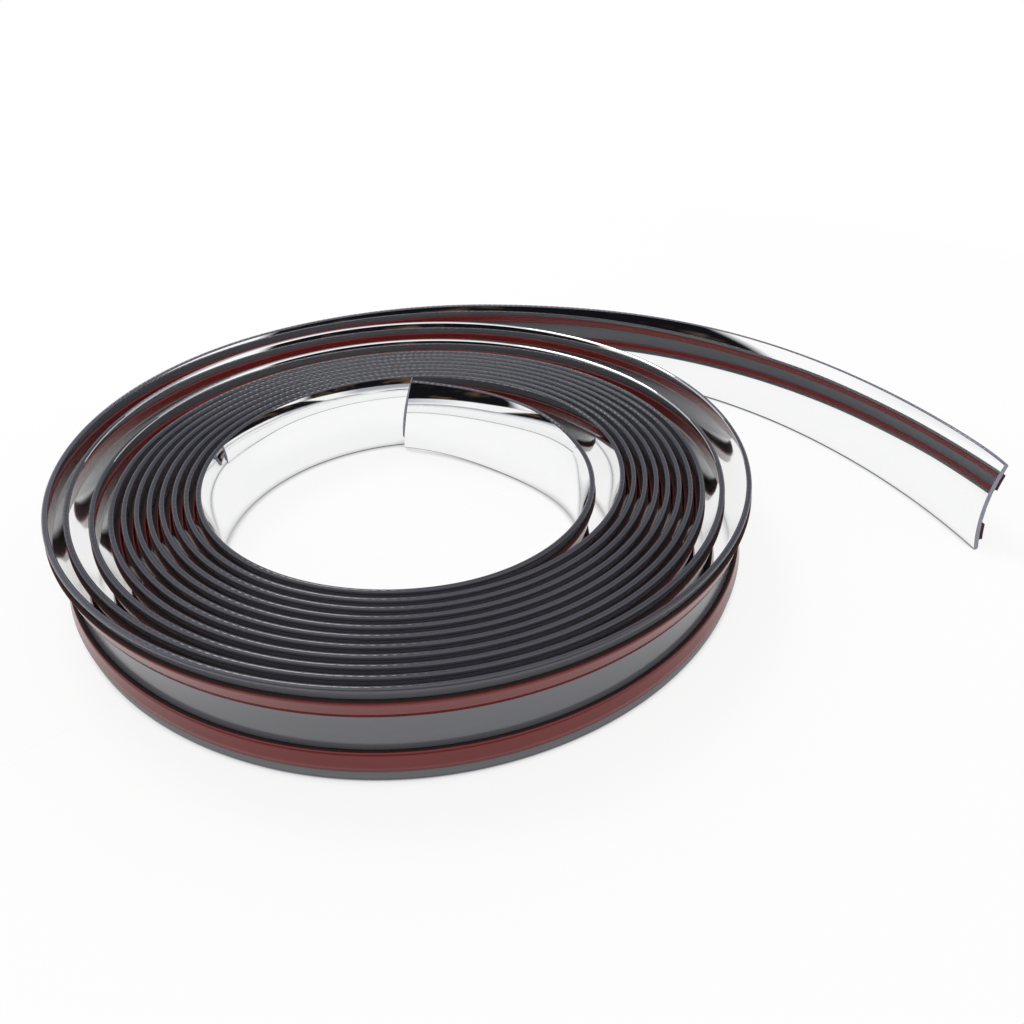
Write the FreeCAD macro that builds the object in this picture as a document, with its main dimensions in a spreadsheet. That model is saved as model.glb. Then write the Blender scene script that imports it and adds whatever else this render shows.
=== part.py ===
import FreeCAD, Part

import math
import os

import Sketcher

# A loose coil of self-adhesive chrome trim strip, standing on its long edge.
# Millimetres, +Z up. The origin is the coil's axis at the floor. The strip runs
# clockwise, seen from above, from its inner end to the loose tail on the right.

SIZES = [
    # the strip's own section
    ("strip_width", 25.0),      # height of the strip, standing on its edge
    ("strip_thick", 1.4),       # plastic from chrome face to back
    ("crown_rise", 2.0),        # how far the chrome face bulges out past its edges
    ("rim_flat", 0.6),          # level land along each long edge
    ("rim_drop", 0.35),         # height of the eased corners beside it
    # the two mounting tapes on the back, each foam with a peel-off liner
    ("tape_width", 4.6),
    ("tape_margin", 2.75),      # from the strip's long edge to the tape
    ("glue_line", 0.1),         # adhesive between the strip's back and the foam
    ("foam_thick", 0.8),
    ("liner_thick", 0.2),
    # the wound part
    ("winding_gap", 0.17),      # air between a liner and the next turn's chrome
    ("side_slack", 0.19),       # extra air at the left and right of each turn
    ("core_radius", 51.10),     # the tight winding, followed in to the inner end
    ("core_oval", 0.69),        # half the difference of the core's half axes
    ("tight_turns", 8.5),       # turns from the inner end that lie tight
    # the inner end, which springs off the winding
    ("end_lead", 8.4),          # degrees that its tip reaches past the back
    ("end_sweep", 173.4),       # degrees over which it lies free
    ("tip_drop", 1.75),         # how far its tip stands in from the winding
    ("end_sag", 7.7),           # how much further in its middle falls, or about that
    # how far each loose turn stands off at the back
    ("slack_first", 7.6),
    ("slack_second", 21.2),
    ("slack_last", 30.0),
    ("last_turn", 0.25),        # share of the last turn before the tail
    # the tail, five arcs that open up
    ("near_radius", 93.7),
    ("near_sweep", 61.3),
    ("early_radius", 121.5),
    ("early_sweep", 42.1),
    ("middle_radius", 147.9),
    ("middle_sweep", 23.7),
    ("late_radius", 123.3),
    ("late_sweep", 27.6),
    ("far_radius", 172.9),
    ("far_sweep", 24.3),
]
TAIL = ("near", "early", "middle", "late", "far")
TIGHT_STEPS = 6                 # stretches of path in a tight turn, two arcs each
LOOSE_STEPS = 12                # and in a loose one
UP = FreeCAD.Vector(0, 0, 1)

# Radius of the line midway between chrome face and back, as an expression.
CROWN = ("((Sizes.strip_width - Sizes.strip_thick)^2 / (8 * Sizes.crown_rise)"
         " + Sizes.crown_rise / 2)")
BACK = f"({CROWN} - Sizes.strip_thick / 2)"


def make_sheet(doc):
    sheet = doc.addObject("Spreadsheet::Sheet", "Sizes")
    for row, (name, value) in enumerate(SIZES, start=1):
        sheet.set(f"A{row}", name)
        sheet.set(f"B{row}", str(value))
        sheet.setAlias(f"B{row}", name)
    doc.recompute()
    return sheet


def coil_radius(sheet, turned):
    """Distance of the strip's rim from the axis after so many degrees of turning."""
    toward = math.radians(90 - turned)
    pitch = sheet.strip_thick + sheet.glue_line + sheet.foam_thick + sheet.liner_thick
    pitch += sheet.winding_gap
    pitch += sheet.side_slack * math.cos(toward) ** 2
    radius = sheet.core_radius + sheet.core_oval * math.cos(2 * toward) + pitch * turned / 360
    along = (turned + sheet.end_lead) / sheet.end_sweep
    if along < 1:
        # the cubic along * (1 - along) ** 2 peaks at 4 / 27
        radius -= (1 - along) ** 2 * (sheet.tip_drop + 27 / 4 * sheet.end_sag * along)
    loose = turned / 360 - sheet.tight_turns
    if loose > 0:
        slack = (sheet.slack_first, sheet.slack_second, sheet.slack_last)[int(loose)]
        radius += slack * math.sin(math.pi * (loose % 1)) ** 3
    return radius


def coil_point(sheet, turned):
    toward = math.radians(90 - turned)
    radius = coil_radius(sheet, turned)
    return FreeCAD.Vector(radius * math.cos(toward), radius * math.sin(toward), 0)


def coil_heading(sheet, turned):
    half_step = 0.05
    step = coil_point(sheet, turned + half_step) - coil_point(sheet, turned - half_step)
    return step.normalize()


def arc_from(start, heading, end):
    """The circular arc that leaves start along heading and arrives at end."""
    side = heading.cross(UP)
    reach = end - start
    radius = reach.Length ** 2 / (2 * reach.dot(side))
    centre = start + side * radius
    outward = (start + reach * 0.5 - centre).normalize()
    return Part.Arc(start, centre + outward * abs(radius), end).toShape()


def biarc(start, leave, end, arrive):
    """Two tangent arcs from one point and heading to another."""
    reach = end - start
    along = reach.dot(leave + arrive)
    bend = 2 * (1 - leave.dot(arrive))
    handle = (math.sqrt(along ** 2 + bend * reach.dot(reach)) - along) / bend
    joint = (start + end + (leave - arrive) * handle) * 0.5
    return [arc_from(start, leave, joint), arc_from(end, arrive * -1, joint)]


def steps(first, last, per_turn):
    count = math.ceil((last - first) / 360 * per_turn)
    return [first + (last - first) * step / count for step in range(count + 1)]


def coil_path(sheet):
    """The rim's line on the floor, from the inner end to the tail's tip."""
    last = 360 * (sheet.tight_turns + 2 + sheet.last_turn)
    stops = steps(-sheet.end_lead, 360 * sheet.tight_turns, TIGHT_STEPS)
    stops += steps(360 * sheet.tight_turns, last, LOOSE_STEPS)[1:]
    edges = []
    for here, there in zip(stops, stops[1:]):
        edges += biarc(coil_point(sheet, here), coil_heading(sheet, here),
                       coil_point(sheet, there), coil_heading(sheet, there))
    point, heading = coil_point(sheet, last), coil_heading(sheet, last)
    for name in TAIL:
        radius = getattr(sheet, f"{name}_radius")
        sweep = getattr(sheet, f"{name}_sweep")
        spoke = heading.cross(UP) * -radius
        centre = point - spoke
        halfway = centre + FreeCAD.Rotation(UP, -sweep / 2).multVec(spoke)
        swing = FreeCAD.Rotation(UP, -sweep)
        end = centre + swing.multVec(spoke)
        edges.append(Part.Arc(point, halfway, end).toShape())
        point, heading = end, swing.multVec(heading)
    return Part.Wire(edges)


def section_sketch(doc, sheet, name):
    """An empty sketch across the path's start: x points outward, y up."""
    heading = coil_heading(sheet, -sheet.end_lead)
    outward = heading.cross(UP) * -1
    sketch = doc.addObject("Sketcher::SketchObject", name)
    sketch.Placement = FreeCAD.Placement(
        coil_point(sheet, -sheet.end_lead), FreeCAD.Rotation(outward, UP, heading, "XYZ"))
    return sketch


def crown_arc(centre, radius, low, high):
    """The stretch of a crown circle between two heights, bulging toward the axis."""
    rise = math.asin((high - centre.y) / radius)
    fall = math.asin((centre.y - low) / radius)
    circle = Part.Circle(centre, UP, radius)
    return Part.ArcOfCircle(circle, math.pi - rise, math.pi + fall)


def bind(sketch, kind, places, name, expression):
    """Add a named size to a sketch, at its true value and tied to the sheet."""
    value = float(sketch.evalExpression(expression))
    index = sketch.addConstraint(Sketcher.Constraint(kind, *places, value))
    sketch.renameConstraint(index, name)
    sketch.setExpression(f"Constraints.{name}", expression)


def crown_values(sheet):
    middle = (sheet.strip_width - sheet.strip_thick) ** 2 / (8 * sheet.crown_rise)
    middle += sheet.crown_rise / 2
    centre = FreeCAD.Vector(middle - sheet.crown_rise, sheet.strip_width / 2, 0)
    return middle, centre


def bind_crown(sketch, inner, outer, inner_radius, outer_radius):
    """Tie two arcs to the crown's centre and to their radii."""
    bind(sketch, "DistanceX", (-1, 1, inner, 3), "crown_reach", f"{CROWN} - Sizes.crown_rise")
    bind(sketch, "DistanceY", (-1, 1, inner, 3), "crown_height", "Sizes.strip_width / 2")
    sketch.addConstraint(Sketcher.Constraint("Coincident", inner, 3, outer, 3))
    bind(sketch, "Radius", (inner,), "inner_radius", inner_radius)
    bind(sketch, "Radius", (outer,), "outer_radius", outer_radius)


def strip_section(doc, sheet):
    """The strip: a crowned chrome face, a hollow back and eased long edges."""
    sketch = section_sketch(doc, sheet, "StripSection")
    middle, centre = crown_values(sheet)
    half, land = sheet.strip_thick / 2, sheet.rim_flat / 2
    low, high = sheet.rim_drop, sheet.strip_width - sheet.rim_drop
    face = crown_arc(centre, middle + half, low, high)
    back = crown_arc(centre, middle - half, low, high)
    point = FreeCAD.Vector
    top = [face.StartPoint, point(-land, sheet.strip_width), point(land, sheet.strip_width),
           back.StartPoint]
    bottom = [face.EndPoint, point(-land, 0), point(land, 0), back.EndPoint]
    lines = [Part.LineSegment(a, b) for run in (top, bottom) for a, b in zip(run, run[1:])]
    sketch.addGeometry([face, back] + lines, False)
    face, back = 0, 1
    ease_top, land_top, fall_top, ease_low, land_low, fall_low = range(2, 8)
    for first, first_end, second, second_end in (
            (face, 1, ease_top, 1), (ease_top, 2, land_top, 1), (land_top, 2, fall_top, 1),
            (fall_top, 2, back, 1), (face, 2, ease_low, 1), (ease_low, 2, land_low, 1),
            (land_low, 2, fall_low, 1), (fall_low, 2, back, 2)):
        sketch.addConstraint(
            Sketcher.Constraint("Coincident", first, first_end, second, second_end))
    bind_crown(sketch, face, back, f"{CROWN} + Sizes.strip_thick / 2", BACK)
    for word, edge in (("top", land_top), ("low", land_low)):
        sketch.addConstraint(Sketcher.Constraint("Horizontal", edge))
        bind(sketch, "DistanceX", (edge, 1, edge, 2), f"{word}_land", "Sizes.rim_flat")
        bind(sketch, "DistanceX", (edge, 1, -1, 1), f"{word}_start", "Sizes.rim_flat / 2")
    bind(sketch, "DistanceY", (-1, 1, land_top, 1), "top_height", "Sizes.strip_width")
    sketch.addConstraint(Sketcher.Constraint("PointOnObject", land_low, 1, -1))
    for word, arc in (("face", face), ("back", back)):
        bind(sketch, "DistanceY", (-1, 1, arc, 1), f"{word}_top",
             "Sizes.strip_width - Sizes.rim_drop")
        bind(sketch, "DistanceY", (-1, 1, arc, 2), f"{word}_low", "Sizes.rim_drop")
    return sketch


def band_section(doc, sheet, name, layers, upper):
    """A band along the strip's back: layers names what lies under it, then itself."""
    sketch = section_sketch(doc, sheet, name)
    middle, centre = crown_values(sheet)
    depth = [getattr(sheet, layer) for layer in layers]
    inner_radius = middle - sheet.strip_thick / 2 - sum(depth[:-1])
    low = sheet.tape_margin
    low_text = "Sizes.tape_margin"
    if upper:
        low = sheet.strip_width - sheet.tape_margin - sheet.tape_width
        low_text = "Sizes.strip_width - Sizes.tape_margin - Sizes.tape_width"
    high = low + sheet.tape_width
    near = crown_arc(centre, inner_radius, low, high)
    far = crown_arc(centre, inner_radius - depth[-1], low, high)
    top = Part.LineSegment(near.StartPoint, far.StartPoint)
    bottom = Part.LineSegment(near.EndPoint, far.EndPoint)
    sketch.addGeometry([near, far, top, bottom], False)
    near, far, top, bottom = range(4)
    for arc, arc_end, line, line_end in ((near, 1, top, 1), (far, 1, top, 2),
                                         (near, 2, bottom, 1), (far, 2, bottom, 2)):
        sketch.addConstraint(Sketcher.Constraint("Coincident", arc, arc_end, line, line_end))
    under = "".join(f" - Sizes.{layer}" for layer in layers[:-1])
    bind_crown(sketch, near, far, BACK + under, f"{BACK}{under} - Sizes.{layers[-1]}")
    sketch.addConstraint(Sketcher.Constraint("Horizontal", top))
    sketch.addConstraint(Sketcher.Constraint("Horizontal", bottom))
    bind(sketch, "DistanceY", (-1, 1, bottom, 1), "foot", low_text)
    bind(sketch, "DistanceY", (bottom, 1, top, 1), "width", "Sizes.tape_width")
    return sketch


def sweep(doc, name, section, path):
    """Carry one section along the whole coil."""
    solid = doc.addObject("Part::Sweep", name)
    solid.Label = name
    solid.Sections = [section]
    solid.Spine = (path, [f"Edge{n}" for n in range(1, len(path.Shape.Edges) + 1)])
    solid.Solid = True
    solid.Frenet = True
    return solid


def check(doc, solids):
    for item in doc.Objects:
        if "Invalid" in item.State or "Error" in item.State:
            raise ValueError(f"{item.Name} did not compute")
    for solid in solids:
        shape = solid.Shape
        if shape.isNull() or not shape.isValid() or len(shape.Solids) != 1:
            raise ValueError(f"{solid.Label} is not one sound solid")


def main():
    doc = FreeCAD.newDocument("trim_coil")
    sheet = make_sheet(doc)
    path = doc.addObject("Part::Feature", "CoilPath")
    path.Shape = coil_path(sheet)

    solids = [sweep(doc, "trim_strip", strip_section(doc, sheet), path)]
    for place, upper in (("upper", True), ("lower", False)):
        foam = band_section(doc, sheet, f"FoamSection_{place}", ["glue_line", "foam_thick"], upper)
        solids.append(sweep(doc, f"foam_tape_{place}", foam, path))
        liner = band_section(doc, sheet, f"LinerSection_{place}",
                             ["glue_line", "foam_thick", "liner_thick"], upper)
        solids.append(sweep(doc, f"release_liner_{place}", liner, path))
    doc.recompute()
    check(doc, solids)

    os.makedirs("parts", exist_ok=True)
    for solid in solids:
        solid.Shape.exportStep(f"parts/{solid.Label}.step")
        print(solid.Label, round(solid.Shape.Volume), "mm3")
    print("strip length", round(path.Shape.Length), "mm")


main()
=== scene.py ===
import math

import bpy
import numpy as np
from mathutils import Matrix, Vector


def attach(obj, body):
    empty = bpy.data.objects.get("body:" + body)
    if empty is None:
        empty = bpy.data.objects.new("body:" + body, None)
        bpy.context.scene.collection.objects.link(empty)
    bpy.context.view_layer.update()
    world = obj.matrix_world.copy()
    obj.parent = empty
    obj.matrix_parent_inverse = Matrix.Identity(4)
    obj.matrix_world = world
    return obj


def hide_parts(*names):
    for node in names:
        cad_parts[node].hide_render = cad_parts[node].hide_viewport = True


# A loose coil of self-adhesive chrome trim strip, standing on its long edge.
# The pieces are swept along the same winding as the CAD nodes, with full-round
# edges, a chrome coating, foam tapes and red liners. Metres, +Z up.

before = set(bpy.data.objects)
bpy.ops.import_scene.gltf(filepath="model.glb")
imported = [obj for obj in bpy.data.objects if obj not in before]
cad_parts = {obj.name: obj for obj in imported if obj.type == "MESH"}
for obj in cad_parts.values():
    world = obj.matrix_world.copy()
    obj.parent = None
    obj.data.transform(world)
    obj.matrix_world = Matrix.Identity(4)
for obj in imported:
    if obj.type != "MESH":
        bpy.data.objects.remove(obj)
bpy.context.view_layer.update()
MM = 0.001

# The strip's own section, as in the CAD source
STRIP_WIDTH = 25.0 * MM
STRIP_THICK = 1.4 * MM
CROWN_RISE = 2.0 * MM
TAPE_WIDTH = 4.6 * MM
TAPE_MARGIN = 2.75 * MM
GLUE_LINE = 0.1 * MM
FOAM_THICK = 0.8 * MM
LINER_THICK = 0.2 * MM
FOAM_HOLLOW = 0.08 * MM         # how far the foam's cut edges draw in, here alone

# The winding, as in the CAD source
WINDING_GAP = 0.17 * MM
SIDE_SLACK = 0.19 * MM
CORE_RADIUS = 51.10 * MM
CORE_OVAL = 0.69 * MM
TIGHT_TURNS = 8.5
END_LEAD = 8.4
END_SWEEP = 173.4
TIP_DROP = 1.75 * MM
END_SAG = 7.7 * MM
SLACK = (7.6 * MM, 21.2 * MM, 30.0 * MM)
LAST_TURN = 0.25
OUTER_FRONT = 360 * (TIGHT_TURNS + len(SLACK) - 1)      # where the outermost turn is in front
COIL_END = OUTER_FRONT + 360 * LAST_TURN                # degrees, where the tail begins

# The tail, as in the CAD source but for its last arc, which stops 2.4 mm sooner
TAIL_RADII = (93.7 * MM, 121.5 * MM, 147.9 * MM, 123.3 * MM, 172.9 * MM)
TAIL_SWEEPS = (61.3, 42.1, 23.7, 27.6, 23.5)
TAIL_EASE = 18.0 * MM           # half the length over which one arc runs into the next

# How the free ends lean, which the solids leave level: the top goes outward (+)
END_LEAN = 3.9 * MM             # at most, along the inner end
END_LEAN_SHARE = 0.52           # share of the free inner end that leans
END_LIFT = 0.9 * MM             # how far its tip has risen off the floor
END_LIFT_SHARE = 0.35
END_TILT = 9.8                  # degrees by which its cut leans forward
END_TILT_SHARE = 0.3
TAIL_LEAN = 6.6 * MM            # at most, along the tail
TAIL_TIP_LEAN = 4.3 * MM
TAIL_SHIFT = 1.3 * MM           # how far its middle stands out from the solids' line
TAIL_LEAN_RUN = 193.8 * MM      # length of the tail that leans
TAIL_TILT = -12.0               # degrees by which its cut leans forward
TAIL_TILT_RUN = 25.0 * MM
FRONT_LEAN = -1.4 * MM          # outermost turn, where it passes the front
FRONT_HALF = 80.0               # degrees to either side over which it fades

# What the reflections show of that
MIRROR_LEAN = 0.26              # share of a lean
MIRROR_TIP = 0.55               # and at the tail's tip
MIRROR_ROLL = 2.8 * MM          # what the inner tip leans besides
MIRROR_CROWN = 0.83             # share of the crown's turn

# How finely the meshes follow it
RING_STEP = 1.5                 # degrees of turning between two rings
TAIL_STEP = 2.4 * MM            # and length between two on the tail
TAIL_PARTS = 20                 # parts of such a step in which the tail's line is added up
HEADING_STEP = 0.02             # degrees to either side that give the line's heading
BEND_STEP = 1.0                 # and its bend
FACE_CUTS = 12
CAP_CUTS = 8
BACK_CUTS = 6
BAND_CUTS = 4

# Where the loose turns' upper edge is chrome: from this far back, for each of its cuts
CHROME_WRAP = (0.0, 25 * MM, 50 * MM)
WRAP_END = 10.6                 # turns after which it is plastic again
RIM_LIGHT_START = 10.4               # turns after which a painted highlight pales the edges, until the tail's tip

# The crown circle midway between chrome face and back
HALF_CHORD = (STRIP_WIDTH - STRIP_THICK) / 2
CROWN_RADIUS = HALF_CHORD ** 2 / (2 * CROWN_RISE) + CROWN_RISE / 2
CROWN_REACH = CROWN_RADIUS - CROWN_RISE
CROWN_HALF_ANGLE = math.asin(HALF_CHORD / CROWN_RADIUS)

# How far round the section, from the foot of the chrome face, each stretch ends
FACE_END = 2 * CROWN_HALF_ANGLE * (CROWN_RADIUS + STRIP_THICK / 2)
TOP_RIM_END = FACE_END + math.pi * STRIP_THICK / 2
BACK_END = TOP_RIM_END + 2 * CROWN_HALF_ANGLE * (CROWN_RADIUS - STRIP_THICK / 2)

# The surfaces: a pattern's size is along the strip and round its section
CHROME_TINTS = ((0.93, 0.935, 0.94, 1), (0.97, 0.97, 0.965, 1))
CHROME_ROUGH = (0.02, 0.05)
SMUDGE_SIZE = (14 * MM, 6 * MM)
WAVE_SIZE = (45 * MM, 12 * MM)
WAVE_DEPTH = 0.05 * MM
FACE_TINTS = ((0.095, 0.096, 0.110, 1), (0.125, 0.127, 0.143, 1))
# painted shade: the rims are the faces' plastic, darkened
SHADED_RIM_TINTS = ((0.028, 0.028, 0.038, 1), (0.042, 0.042, 0.056, 1))
# painted highlight: the same rims, paled along the tail
LIT_RIM_TINTS = ((0.13, 0.125, 0.18, 1), (0.20, 0.195, 0.26, 1))
PLASTIC_ROUGH = (0.13, 0.22)
PLASTIC_IOR = 1.65
CLOUD_SIZE = (30 * MM, 4 * MM)
DRAWN_SIZE = (60 * MM, 0.35 * MM)       # the lines that drawing the strip left on it
DRAWN_DEPTH = 0.008 * MM
RIPPLE_PITCH = 2.0 * MM                 # the fine cross ripple on the two long edges
RIPPLE_DEPTH = 0.11 * MM
RIPPLE_DRIFT = 2.2                      # how unevenly it is spaced, in radians
RIPPLE_DRIFT_SIZE = (9 * MM, 30 * MM)
RIPPLE_PLACES = (10 * MM, 55 * MM)      # how far back it starts to grow, and is full
RIPPLE_FRONT = 0.1                      # share of it in front
RIM_SHADE_BACK = 0.55                        # share of the painted rim shade at the back
CUT_TINTS = ((0.17, 0.17, 0.23, 1), (0.36, 0.36, 0.44, 1))
CUT_ROUGH = (0.35, 0.6)
CUT_GRAIN = 0.8 * MM
CUT_DEPTH = 0.05 * MM
FOAM_TINTS = ((0.016, 0.007, 0.007, 1), (0.040, 0.016, 0.015, 1))
FOAM_ROUGH = 0.9
CELL_SIZE = 0.22 * MM
CELL_DEPTH = 0.06 * MM
LINER_TINTS = ((0.130, 0.0085, 0.0080, 1), (0.180, 0.0145, 0.0130, 1))
LINER_ROUGH = (0.18, 0.28)
LINER_CLOUD_SIZE = (22 * MM, 3 * MM)
CREASE_SIZE = (6 * MM, 5 * MM)
CREASE_DEPTH = 0.05 * MM
GRAIN_SIZE = (0.5 * MM, 0.5 * MM)
GRAIN_DEPTH = 0.004 * MM

# What lights the object from all round, and what the chrome and the rims mirror
WHITE = (1, 1, 1, 1)
SKY = (0.80, 0.80, 0.80, 1)
BACK_SKY = (0.40, 0.40, 0.448, 1)       # mirrored from above and behind
BACK_FACING = (-0.35, 0.1)              # cosines off DARK_MIDDLE: all of it, and none
BACK_HEIGHT = (0.08, 0.3)               # sines of the heights: none of it, and all
DARK_MIDDLE = 267.0                     # azimuth of the dark part of the room
DARK_LOW = 0.0                          # degrees above the horizon where it starts
DARK_HIGH = 29.0                        # and ends, in its middle
DARK_SIDE = 2.0                         # and at its sides
DARK_FULL = 40.0                        # degrees from its middle that are full height
DARK_HALF = 71.0                        # and its reach
SIDE_BLUR = 6.0                         # degrees over which each border fades, either way
LOW_BLUR = 1.0
TOP_BLUR = 0.05                         # the same, as a sine
ROOM_TINTS = ((0.006, 0.006, 0.008, 1), (0.13, 0.085, 0.05, 1))
PATCH_SCALE = 3.6                       # how many of its brown patches lie side by side
PATCH_FLATNESS = 2.5
PATCH_RANGE = (0.52, 0.72)              # the noise between bare and brown

# The white paper it stands on
FLOOR_REACH = 12.0
PAPER_WHITE = (0.94, 0.94, 0.94, 1)
PAPER_ROUGH = 0.9
PAPER_GLOW = 0.85                       # share of its white that shadows don't dim
GLOW_RANGE = (0.17, 0.42)               # from here outward that share grows to the whole
CREVICE = 4.0 * MM                      # how near the strip the paper turns dark: painted contact shade, where its glow fades
CREVICE_GLOW = 0.1                      # what is left of its glow there
CREVICE_SKY = (0.1, 0.6)                # share of open sky at which it grows, and is full
CREVICE_RAYS = 8

# The lamp and the camera
LAMP_SIZE = 0.35
LAMP_POWER = 2.6
LAMP_AWAY = 1.0
LAMP_AZIMUTH = 126.0
LAMP_ELEVATION = 57.0
LENS = 27.18
SENSOR_WIDTH = 36.0
CAMERA_PLACE = (26.5 * MM, -174.8 * MM, 131.79 * MM)
CAMERA_TARGET = (26.5 * MM, 12.125 * MM, 0.0)


def cosine(degrees):
    return math.cos(math.radians(degrees))


def sine(degrees):
    return math.sin(math.radians(degrees))


def coil_radius(turned):
    """Distance of the strip's rim from the axis after so many degrees of turning."""
    toward = np.radians(90 - turned)
    pitch = STRIP_THICK + GLUE_LINE + FOAM_THICK + LINER_THICK + WINDING_GAP
    pitch = pitch + SIDE_SLACK * np.cos(toward) ** 2
    radius = CORE_RADIUS + CORE_OVAL * np.cos(2 * toward) + pitch * turned / 360
    along = np.minimum((turned + END_LEAD) / END_SWEEP, 1)
    # the cubic along * (1 - along) ** 2 peaks at 4 / 27
    radius -= (1 - along) ** 2 * (TIP_DROP + 27 / 4 * END_SAG * along)
    loose = turned / 360 - TIGHT_TURNS
    turn = np.clip(np.floor(loose), 0, len(SLACK) - 1).astype(int)
    swell = np.sin(math.pi * (loose - turn)) ** 3
    return radius + np.where(loose > 0, np.array(SLACK)[turn] * swell, 0)


def coil_point(turned):
    toward = np.radians(90 - turned)
    return coil_radius(turned)[:, None] * np.stack([np.cos(toward), np.sin(toward)], 1)


def curvature_at(turned):
    """How sharply the winding bends at one place, in 1 / m."""
    before, here, after = coil_point(np.array([turned - BEND_STEP, turned, turned + BEND_STEP]))
    first, second = here - before, after - here
    swing = math.atan2(first[1], first[0]) - math.atan2(second[1], second[0])
    return swing / (np.linalg.norm(first) + np.linalg.norm(second)) * 2


def tail_line(start, heading, bend):
    """The tail: it leaves the winding and opens up, its bend changing smoothly."""
    lengths = [radius * math.radians(sweep) for radius, sweep in zip(TAIL_RADII, TAIL_SWEEPS)]
    joints = np.cumsum([0] + lengths)
    places, bends = [0.0], [bend]
    for joint, radius, after in zip(joints, TAIL_RADII, joints[1:]):
        places += [joint + TAIL_EASE, after - TAIL_EASE]
        bends += [1 / radius, 1 / radius]
    places.append(joints[-1])
    bends.append(1 / TAIL_RADII[-1])
    count = math.ceil(joints[-1] / TAIL_STEP)
    run = np.linspace(0, joints[-1], count + 1)
    dense = np.linspace(0, joints[-1], count * TAIL_PARTS + 1)
    step = dense[1]
    turn = np.interp(dense + step / 2, places, bends) * step
    angle = heading - np.concatenate([[0], np.cumsum(turn)[:-1]])
    point = np.cumsum(np.stack([np.cos(angle), np.sin(angle)], 1) * step, 0)
    point = np.vstack([[0, 0], point[:-1]]) + start
    return point[::TAIL_PARTS], angle[::TAIL_PARTS], run


def coil_line():
    """The middle line's points, headings, lengths and turning, from inner end to tip."""
    turned = np.linspace(-END_LEAD, COIL_END, math.ceil((COIL_END + END_LEAD) / RING_STEP) + 1)
    points = coil_point(turned)
    ahead = coil_point(turned + HEADING_STEP) - coil_point(turned - HEADING_STEP)
    heading = np.unwrap(np.arctan2(ahead[:, 1], ahead[:, 0]))
    reach = np.linalg.norm(np.diff(points, axis=0), axis=1)
    length = np.concatenate([[0], np.cumsum(reach)])
    bend = curvature_at(COIL_END - BEND_STEP)
    tail, tail_heading, tail_run = tail_line(points[-1], heading[-1], bend)
    return (np.vstack([points, tail[1:]]),
            np.concatenate([heading, tail_heading[1:]]),
            np.concatenate([length, length[-1] + tail_run[1:]]),
            np.concatenate([turned, np.full(len(tail_run) - 1, COIL_END)]))


def bell(share):
    """Rises from 0 at -1 to 1 at 0 and falls to 0 at 1, smoothly."""
    return np.cos(math.pi / 2 * np.clip(share, -1, 1)) ** 2


def fade(share):
    """1 at 0, falling smoothly to 0 at 1 and beyond."""
    return (1 - np.clip(share, 0, 1)) ** 2


def coil_stand(lengths, turned):
    """How far each ring leans outward, lifts, tilts forward and stands aside."""
    along = (turned + END_LEAD) / END_SWEEP
    to_tip = lengths[-1] - lengths
    onset = np.maximum(1 - to_tip / TAIL_LEAN_RUN, 0)
    swell = bell(np.minimum(2 * onset, 1) - 1)
    front = FRONT_LEAN * bell((turned - OUTER_FRONT) / FRONT_HALF)
    lean = END_LEAN * bell(np.minimum(along / END_LEAN_SHARE, 1) * 2 - 1) + front
    lean += TAIL_LEAN * swell
    lean -= (TAIL_LEAN - TAIL_TIP_LEAN) * bell(np.maximum(2 * onset - 1, 0) - 1)
    lift = END_LIFT * fade(along / END_LIFT_SHARE)
    tilt = END_TILT * fade(along / END_TILT_SHARE) + TAIL_TILT * fade(to_tip / TAIL_TILT_RUN)
    # the outermost turn's top stays against the pack and its foot stands out
    aside = TAIL_SHIFT * swell - front / 2
    return lean, lift, np.radians(tilt), aside


def mirror_lean(lean, lengths, turned):
    """The lean that the reflections show, which is less than the true one."""
    to_tip = np.clip((lengths[-1] - lengths) / TAIL_LEAN_RUN, 0, 1)
    shown = lean * (MIRROR_LEAN + (MIRROR_TIP - MIRROR_LEAN) * (1 - to_tip) ** 3)
    return shown + MIRROR_ROLL * fade((turned + END_LEAD) / END_SWEEP / END_LEAN_SHARE)


def ring_frames(points, heading, lean, lift, tilt):
    """Each ring's middle, and its outward, upward and forward directions."""
    flat = np.zeros(len(heading))
    level = np.stack([-np.sin(heading), np.cos(heading), flat], 1)
    ahead = np.stack([np.cos(heading), np.sin(heading), flat], 1)
    up = np.array([[0.0, 0.0, 1.0]])
    tip_over = np.arcsin(lean / STRIP_WIDTH)[:, None]
    outward = level * np.cos(tip_over) - up * np.sin(tip_over)
    leaning = up * np.cos(tip_over) + level * np.sin(tip_over)
    tilt = tilt[:, None]
    upward = leaning * np.cos(tilt) + ahead * np.sin(tilt)
    forward = ahead * np.cos(tilt) - leaning * np.sin(tilt)
    half_edge = STRIP_THICK / 2
    height = lift + half_edge + (STRIP_WIDTH / 2 - half_edge) * upward[:, 2]
    return np.column_stack([points, height]), outward, upward, forward


def coil_rings():
    """The rings' frames, those that their reflections show, their lengths and turning."""
    points, heading, lengths, turned = coil_line()
    lean, lift, tilt, aside = coil_stand(lengths, turned)
    points = points + np.stack([-np.sin(heading), np.cos(heading)], 1) * aside[:, None]
    shown = mirror_lean(lean, lengths, turned)
    return (ring_frames(points, heading, lean, lift, tilt),
            ring_frames(points, heading, shown, lift, tilt), lengths, turned)


RINGS, MIRROR_RINGS, LINE_LENGTHS, RING_TURNED = coil_rings()
RING_MIDDLE, RING_OUT, RING_UP, RING_AHEAD = RINGS
MIRROR_OUT, MIRROR_UP = MIRROR_RINGS[1:3]


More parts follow.
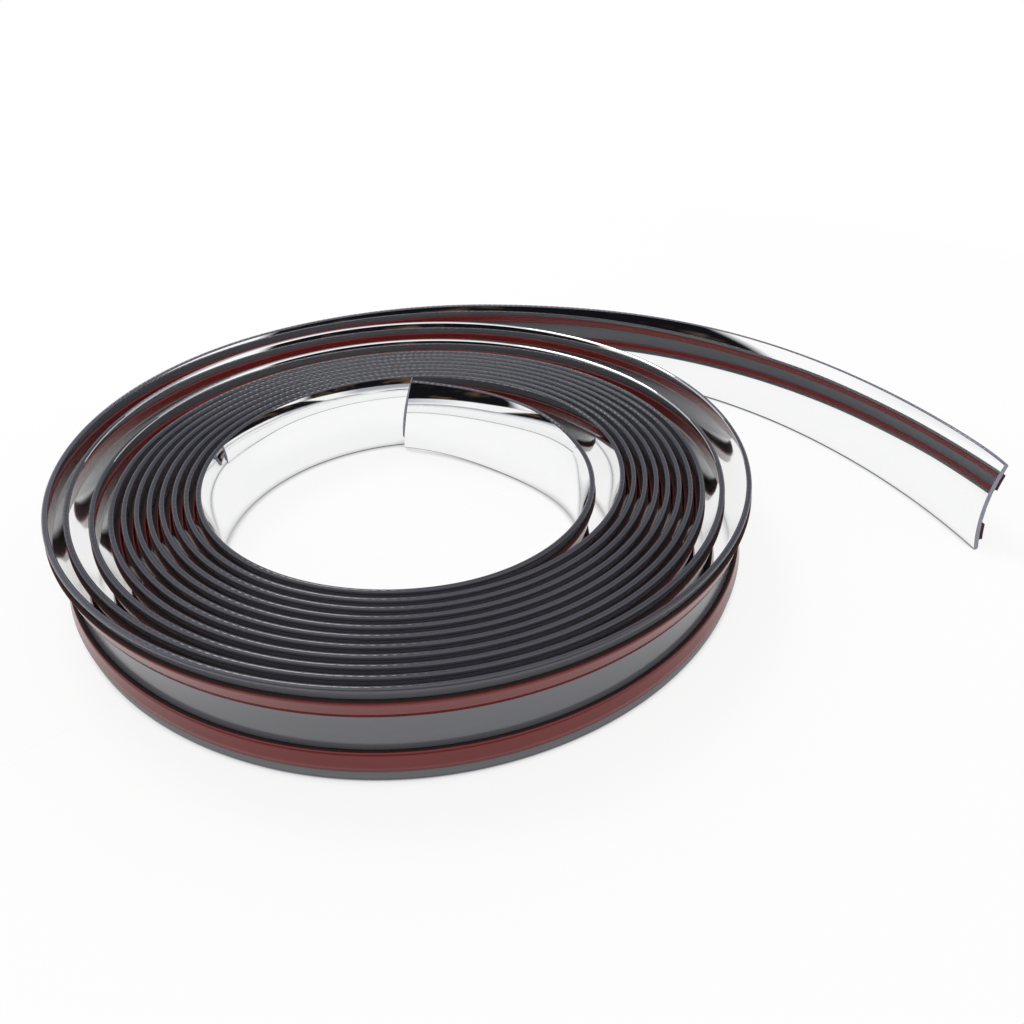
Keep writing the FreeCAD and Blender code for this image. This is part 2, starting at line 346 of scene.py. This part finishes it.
def crown_point(angle, offset):
    """A point of the section, so far inside (+) or outside (-) the crown's middle line."""
    radius = CROWN_RADIUS + offset
    return (CROWN_REACH - radius * math.cos(angle),
            STRIP_WIDTH / 2 + radius * math.sin(angle))


def crown_normal(angle, side):
    angle *= MIRROR_CROWN
    return (-side * math.cos(angle), side * math.sin(angle))


def edge_cap(angle, start_side):
    """The rounded edge at one end of the section, from one face round to the other."""
    centre = np.array(crown_point(angle, 0))
    out = np.array(crown_normal(angle, start_side))
    along = np.array([math.sin(angle), math.cos(angle)]) * math.copysign(1, angle)
    points = []
    for step in range(1, CAP_CUTS):
        turn = math.pi * step / CAP_CUTS
        normal = out * math.cos(turn) + along * math.sin(turn)
        points.append((centre + normal * STRIP_THICK / 2, normal))
    return points


def strip_section():
    """Closed outline of the strip, from the foot of the chrome face round, and its normals."""
    half = STRIP_THICK / 2
    top = CROWN_HALF_ANGLE
    face = [(crown_point(angle, half), crown_normal(angle, 1))
            for angle in np.linspace(-top, top, FACE_CUTS + 1)]
    back = [(crown_point(angle, -half), crown_normal(angle, -1))
            for angle in np.linspace(top, -top, BACK_CUTS + 1)]
    outline = face + edge_cap(top, 1) + back + edge_cap(-top, -1)
    points, normals = zip(*outline)
    return np.array(points), np.array(normals)


def strip_materials(sides):
    """Slot of each face: 0 chrome, 1 plastic, 2 the pale plastic of the two cuts."""
    slots = np.ones((len(RING_TURNED) - 1, sides), int)
    slots[:, :FACE_CUTS] = 0
    turns = RING_TURNED[:-1] / 360
    depth = RING_MIDDLE[:-1, 1]
    for segment, back in enumerate(CHROME_WRAP):
        bright = (turns > TIGHT_TURNS) & (turns < WRAP_END) & (depth > back)
        slots[bright, FACE_CUTS + segment] = 0
    return slots.ravel().tolist() + [2, 2]


def band_section(low, under, thick, hollow=0.0):
    """Outline of a band on the strip's back, from the height low, on layers under it."""
    near = -STRIP_THICK / 2 - under
    far = near - thick
    heights = np.linspace(low, low + TAPE_WIDTH, BAND_CUTS + 1)
    angles = [math.asin((height - STRIP_WIDTH / 2) / CROWN_RADIUS) for height in heights]
    inner = [crown_point(angle, near) for angle in angles]
    outer = [crown_point(angle, far) for angle in reversed(angles)]
    draw_in = np.array([0, hollow])
    top = (np.array(inner[-1]) + np.array(outer[0])) / 2 - draw_in
    bottom = (np.array(outer[-1]) + np.array(inner[0])) / 2 + draw_in
    return np.array(inner + [top] + outer + [bottom])


def swept(name, outline, normals=None, slots=None, materials=()):
    """A closed mesh: the outline carried along the whole coil, capped at both ends."""
    rings, sides = len(RING_MIDDLE), len(outline)
    verts = (RING_MIDDLE[:, None] + RING_OUT[:, None] * outline[None, :, :1]
             + RING_UP[:, None] * (outline[None, :, 1:] - STRIP_WIDTH / 2))
    ring = np.arange(rings - 1)[:, None] * sides
    side = np.arange(sides)[None, :]
    after = (side + 1) % sides
    quads = np.stack([ring + side, ring + sides + side, ring + sides + after, ring + after], 2)
    quads = quads.reshape(-1, 4)
    first = list(range(sides))
    last = [(rings - 1) * sides + corner for corner in reversed(range(sides))]
    mesh = bpy.data.meshes.new(name)
    mesh.from_pydata(verts.reshape(-1, 3).tolist(), [], quads.tolist() + [first, last])
    for material in materials:
        mesh.materials.append(material)
    if slots:
        mesh.polygons.foreach_set("material_index", slots)
    mesh.polygons.foreach_set("use_smooth", [True] * len(quads) + [False, False])
    add_uv(mesh, outline, rings, sides)
    if normals is not None:
        set_normals(mesh, normals)
    piece = bpy.data.objects.new(name, mesh)
    bpy.context.scene.collection.objects.link(piece)
    return piece


def add_uv(mesh, outline, rings, sides):
    """u is the length along the strip and v the way round its section, both in metres."""
    closed = np.vstack([outline, outline[:1]])
    around = np.concatenate([[0], np.cumsum(np.linalg.norm(np.diff(closed, axis=0), axis=1))])
    here = np.repeat(LINE_LENGTHS[:-1], sides)
    there = np.repeat(LINE_LENGTHS[1:], sides)
    near = np.tile(around[:-1], rings - 1)
    far = np.tile(around[1:], rings - 1)
    uv = np.stack([here, near, there, near, there, far, here, far], 1).reshape(-1, 2)
    caps = np.vstack([outline, outline[::-1]])
    layer = mesh.uv_layers.new(name="strip")
    layer.data.foreach_set("uv", np.vstack([uv, caps]).ravel())


def set_normals(mesh, normals):
    """The normals that the reflections show, on the long faces; the two caps stay flat."""
    exact = (MIRROR_OUT[:, None] * normals[None, :, :1]
             + MIRROR_UP[:, None] * normals[None, :, 1:])
    exact = exact.reshape(-1, 3)
    loops = np.zeros(len(mesh.loops), int)
    mesh.loops.foreach_get("vertex_index", loops)
    split = exact[loops]
    split[list(mesh.polygons[-2].loop_indices)] = -RING_AHEAD[0]
    split[list(mesh.polygons[-1].loop_indices)] = RING_AHEAD[-1]
    mesh.normals_split_custom_set(split.tolist())


def fill(tree, made, inputs):
    """Gives a node its inputs, which are (socket, value or output) pairs."""
    for socket, value in inputs:
        if isinstance(value, bpy.types.NodeSocket):
            tree.links.new(value, made.inputs[socket])
        else:
            made.inputs[socket].default_value = value


def node(tree, kind, inputs=(), **settings):
    """Adds a node with its settings and inputs."""
    made = tree.nodes.new(kind)
    for name, value in settings.items():
        setattr(made, name, value)
    fill(tree, made, inputs)
    return made


def new_material(name):
    """A node material with a Principled shader: the material, its tree and the shader."""
    material = bpy.data.materials.new(name)
    material.use_nodes = True
    tree = material.node_tree
    return material, tree, tree.nodes["Principled BSDF"]


def strip_map(tree):
    """The length along the strip and the way round it, from the UV map."""
    return node(tree, "ShaderNodeUVMap", uv_map="strip").outputs["UV"]


def object_place(tree):
    return node(tree, "ShaderNodeTexCoord").outputs["Object"]


def separate(tree, vector):
    return node(tree, "ShaderNodeSeparateXYZ", [("Vector", vector)]).outputs


def blend(tree, share, first, second):
    """The first colour where share is 0 and the second where it is 1."""
    made = node(tree, "ShaderNodeMix", [("Factor", share), ("A", first), ("B", second)],
                data_type="RGBA")
    return made.outputs["Result"]


def noise(tree, position, detail=2.0, scale=1.0):
    made = node(tree, "ShaderNodeTexNoise",
                [("Vector", position), ("Scale", scale), ("Detail", detail)])
    return made.outputs["Fac"]


def strip_noise(tree, uv, size, detail=2.0):
    """Noise whose pattern is so many metres long along the strip and round it."""
    along, around = size
    scaled = node(tree, "ShaderNodeVectorMath", [(0, uv), (1, (1 / along, 1 / around, 1))],
                  operation="MULTIPLY")
    return noise(tree, scaled.outputs["Vector"], detail)


def maths(tree, operation, first, second=0.0):
    made = node(tree, "ShaderNodeMath", [(0, first), (1, second)], operation=operation)
    return made.outputs["Value"]


def spread(tree, value, low, high, from_low=0.0, from_high=1.0):
    """Maps the range from_low to from_high onto low to high, and stops at both ends."""
    made = node(tree, "ShaderNodeMapRange",
                [("Value", value), ("From Min", from_low), ("From Max", from_high),
                 ("To Min", low), ("To Max", high)])
    return made.outputs["Result"]


def bump(tree, height, distance, under=None):
    inputs = [("Height", height), ("Distance", distance), ("Strength", 1.0)]
    if under is not None:
        inputs.append(("Normal", under))
    return node(tree, "ShaderNodeBump", inputs).outputs["Normal"]


def chrome_material():
    material, tree, shader = new_material("chrome_coating")
    uv = strip_map(tree)
    smudge = strip_noise(tree, uv, SMUDGE_SIZE, detail=4.0)
    wave = strip_noise(tree, uv, WAVE_SIZE, detail=1.0)
    fill(tree, shader, [("Metallic", 1.0), ("Base Color", blend(tree, smudge, *CHROME_TINTS)),
                        ("Roughness", spread(tree, smudge, *CHROME_ROUGH)),
                        ("Normal", bump(tree, wave, WAVE_DEPTH))])
    return material


def ripple_height(tree, uv, along):
    """The fine cross ripple that the cutting and winding leave along the edges."""
    drift = strip_noise(tree, uv, RIPPLE_DRIFT_SIZE, detail=1.0)
    shifted = maths(tree, "ADD", maths(tree, "MULTIPLY", along, 2 * math.pi / RIPPLE_PITCH),
                    maths(tree, "MULTIPLY", drift, RIPPLE_DRIFT))
    return maths(tree, "SINE", shifted)


def on_rim(tree, around):
    """1 on the strip's two long edges and 0 on its faces."""
    top = maths(tree, "MULTIPLY", maths(tree, "GREATER_THAN", around, FACE_END),
                maths(tree, "LESS_THAN", around, TOP_RIM_END))
    return maths(tree, "MAXIMUM", top, maths(tree, "GREATER_THAN", around, BACK_END))


def plastic_material():
    """Grey faces, and rippled edges in painted shade that is weaker at the back, which a painted
    highlight pales along the tail.
    """
    material, tree, shader = new_material("grey_plastic")
    uv = strip_map(tree)
    place = separate(tree, uv)
    along, around = place["X"], place["Y"]
    depth = separate(tree, object_place(tree))["Y"]
    cloud = strip_noise(tree, uv, CLOUD_SIZE, detail=3.0)
    start = float(np.interp(RIM_LIGHT_START, RING_TURNED / 360, LINE_LENGTHS))
    # painted highlight: the rims pale toward the tail's tip
    tail_highlight_share = spread(tree, along, 0, 1, start, float(LINE_LENGTHS[-1]))
    edge = blend(tree, tail_highlight_share, blend(tree, cloud, *SHADED_RIM_TINTS), blend(tree, cloud, *LIT_RIM_TINTS))
    rim = on_rim(tree, around)
    share = spread(tree, depth, RIPPLE_FRONT, 1, *RIPPLE_PLACES)
    # painted shade on the rims, weaker towards the back
    painted_rim_share = maths(tree, "MULTIPLY", rim, spread(tree, share, 1, RIM_SHADE_BACK))
    ripple = maths(tree, "MULTIPLY", ripple_height(tree, uv, along), rim)
    ripple = maths(tree, "MULTIPLY", ripple, share)
    lines = bump(tree, strip_noise(tree, uv, DRAWN_SIZE), DRAWN_DEPTH)
    fill(tree, shader, [("IOR", PLASTIC_IOR),
                        ("Base Color", blend(tree, painted_rim_share, blend(tree, cloud, *FACE_TINTS), edge)),
                        ("Roughness", spread(tree, cloud, *PLASTIC_ROUGH)),
                        ("Normal", bump(tree, ripple, RIPPLE_DEPTH, under=lines))])
    return material


def cut_material():
    """The pale plastic where the strip was cut off."""
    material, tree, shader = new_material("cut_plastic")
    torn = noise(tree, object_place(tree), detail=3.0, scale=1 / CUT_GRAIN)
    fill(tree, shader, [("Base Color", blend(tree, torn, *CUT_TINTS)),
                        ("Roughness", spread(tree, torn, *CUT_ROUGH)),
                        ("Normal", bump(tree, torn, CUT_DEPTH))])
    return material


def foam_material():
    material, tree, shader = new_material("black_foam")
    cells = node(tree, "ShaderNodeTexVoronoi",
                 [("Vector", object_place(tree)), ("Scale", 1 / CELL_SIZE)]).outputs["Distance"]
    fill(tree, shader, [("Base Color", blend(tree, cells, *FOAM_TINTS)),
                        ("Roughness", FOAM_ROUGH),
                        ("Normal", bump(tree, cells, CELL_DEPTH))])
    return material


def liner_material():
    material, tree, shader = new_material("red_liner")
    uv = strip_map(tree)
    cloud = strip_noise(tree, uv, LINER_CLOUD_SIZE, detail=3.0)
    creased = bump(tree, strip_noise(tree, uv, CREASE_SIZE), CREASE_DEPTH)
    grain = strip_noise(tree, uv, GRAIN_SIZE)
    fill(tree, shader, [("Base Color", blend(tree, cloud, *LINER_TINTS)),
                        ("Roughness", spread(tree, cloud, *LINER_ROUGH)),
                        ("Normal", bump(tree, grain, GRAIN_DEPTH, under=creased))])
    return material


def build_coil():
    outline, normals = strip_section()
    strip = swept("strip", outline, normals, strip_materials(len(outline)),
                  (chrome_material(), plastic_material(), cut_material()))
    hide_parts("trim_strip")
    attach(strip, "root")
    foam, liner = foam_material(), liner_material()
    lows = (("upper", STRIP_WIDTH - TAPE_MARGIN - TAPE_WIDTH), ("lower", TAPE_MARGIN))
    for place, low in lows:
        tape = swept(f"foam_{place}", band_section(low, GLUE_LINE, FOAM_THICK, FOAM_HOLLOW),
                     materials=[foam])
        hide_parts(f"foam_tape_{place}")
        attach(tape, "root")
        film = swept(f"liner_{place}", band_section(low, GLUE_LINE + FOAM_THICK, LINER_THICK),
                     materials=[liner])
        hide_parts(f"release_liner_{place}")
        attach(film, "root")


def dark_share(tree, facing, height):
    """1 in the directions of the dark part of the room and 0 in the others."""
    in_front = spread(tree, facing, 0, 1, cosine(DARK_HALF + SIDE_BLUR),
                      cosine(DARK_HALF - SIDE_BLUR))
    top = spread(tree, facing, sine(DARK_SIDE), sine(DARK_HIGH), cosine(DARK_HALF),
                 cosine(DARK_FULL))
    below_top = spread(tree, maths(tree, "SUBTRACT", height, top), 1, 0, -TOP_BLUR, TOP_BLUR)
    above_low = spread(tree, height, 0, 1, sine(DARK_LOW - LOW_BLUR), sine(DARK_LOW + LOW_BLUR))
    return maths(tree, "MULTIPLY", maths(tree, "MULTIPLY", in_front, below_top), above_low)


def room_colour(tree, way):
    """Almost black, with dim brown patches."""
    drawn = node(tree, "ShaderNodeVectorMath", [(0, way), (1, (1, 1, PATCH_FLATNESS))],
                 operation="MULTIPLY").outputs["Vector"]
    patches = noise(tree, drawn, detail=3.0, scale=PATCH_SCALE)
    return blend(tree, spread(tree, patches, 0, 1, *PATCH_RANGE), *ROOM_TINTS)


def build_world():
    world = bpy.data.worlds.new("studio")
    bpy.context.scene.world = world
    world.use_nodes = True
    tree = world.node_tree
    tree.nodes.clear()
    way = node(tree, "ShaderNodeTexCoord").outputs["Generated"]
    height = separate(tree, way)["Z"]
    middle = (cosine(DARK_MIDDLE), sine(DARK_MIDDLE), 0)
    facing = node(tree, "ShaderNodeVectorMath", [(0, way), (1, middle)],
                  operation="DOT_PRODUCT").outputs["Value"]
    mirrored = blend(tree, dark_share(tree, facing, height), WHITE, room_colour(tree, way))
    behind = maths(tree, "MULTIPLY", spread(tree, facing, 1, 0, *BACK_FACING),
                   spread(tree, height, 0, 1, *BACK_HEIGHT))
    mirrored = blend(tree, behind, mirrored, BACK_SKY)
    rays = node(tree, "ShaderNodeLightPath").outputs
    lit = blend(tree, rays["Is Glossy Ray"], SKY, mirrored)
    seen = blend(tree, rays["Is Camera Ray"], lit, WHITE)
    shade = node(tree, "ShaderNodeBackground", [("Color", seen)])
    node(tree, "ShaderNodeOutputWorld", [("Surface", shade.outputs["Background"])])


def paper_material():
    """White paper; part of its white glows, so that shadows on it stay light, and near the strip
    the glow fades into painted contact shade.
    """
    material, tree, shader = new_material("white_paper")
    fill(tree, shader, [("Base Color", PAPER_WHITE), ("Roughness", PAPER_ROUGH),
                        ("Specular IOR Level", 0.0)])
    away = node(tree, "ShaderNodeVectorMath", [(0, object_place(tree))],
                operation="LENGTH").outputs["Value"]
    share = maths(tree, "MAXIMUM", spread(tree, away, 0, 1, *GLOW_RANGE), PAPER_GLOW)
    # painted contact shade: the glow fades where the strip hides the open sky
    open_sky = node(tree, "ShaderNodeAmbientOcclusion", [("Distance", CREVICE)],
                    samples=CREVICE_RAYS)
    strength = spread(tree, open_sky.outputs["AO"], CREVICE_GLOW, 1, *CREVICE_SKY)
    glow = node(tree, "ShaderNodeEmission", [("Color", WHITE), ("Strength", strength)])
    rays = node(tree, "ShaderNodeLightPath").outputs
    shown = maths(tree, "MAXIMUM", rays["Is Camera Ray"], rays["Is Glossy Ray"])
    mixed = node(tree, "ShaderNodeMixShader",
                 [(0, maths(tree, "MULTIPLY", share, shown)), (1, shader.outputs["BSDF"]),
                  (2, glow.outputs["Emission"])])
    tree.links.new(mixed.outputs["Shader"], tree.nodes["Material Output"].inputs["Surface"])
    return material


def build_floor():
    mesh = bpy.data.meshes.new("floor")
    corners = [(-FLOOR_REACH, -FLOOR_REACH, 0), (FLOOR_REACH, -FLOOR_REACH, 0),
               (FLOOR_REACH, FLOOR_REACH, 0), (-FLOOR_REACH, FLOOR_REACH, 0)]
    mesh.from_pydata(corners, [], [(0, 1, 2, 3)])
    mesh.materials.append(paper_material())
    floor = bpy.data.objects.new("floor", mesh)
    bpy.context.scene.collection.objects.link(floor)


def aim(thing, target):
    way = Vector(target) - thing.location
    thing.rotation_mode = "QUATERNION"
    thing.rotation_quaternion = way.to_track_quat("-Z", "Y")


def build_lamp():
    data = bpy.data.lights.new("softbox", "AREA")
    data.shape = "DISK"
    data.size = LAMP_SIZE
    data.energy = LAMP_POWER
    lamp = bpy.data.objects.new("softbox", data)
    bpy.context.scene.collection.objects.link(lamp)
    level = LAMP_AWAY * cosine(LAMP_ELEVATION)
    lamp.location = (level * cosine(LAMP_AZIMUTH), level * sine(LAMP_AZIMUTH),
                     LAMP_AWAY * sine(LAMP_ELEVATION))
    aim(lamp, (0, 0, 0))


def build_camera():
    """The photograph's place and lens, worked out from the strip's even height."""
    data = bpy.data.cameras.new("camera")
    data.lens = LENS
    data.sensor_width = SENSOR_WIDTH
    camera = bpy.data.objects.new("camera", data)
    camera.location = CAMERA_PLACE
    aim(camera, CAMERA_TARGET)
    bpy.context.scene.collection.objects.link(camera)
    bpy.context.scene.camera = camera


build_coil()
build_world()
build_floor()
build_lamp()
build_camera()
bpy.context.scene.view_settings.view_transform = "Standard"
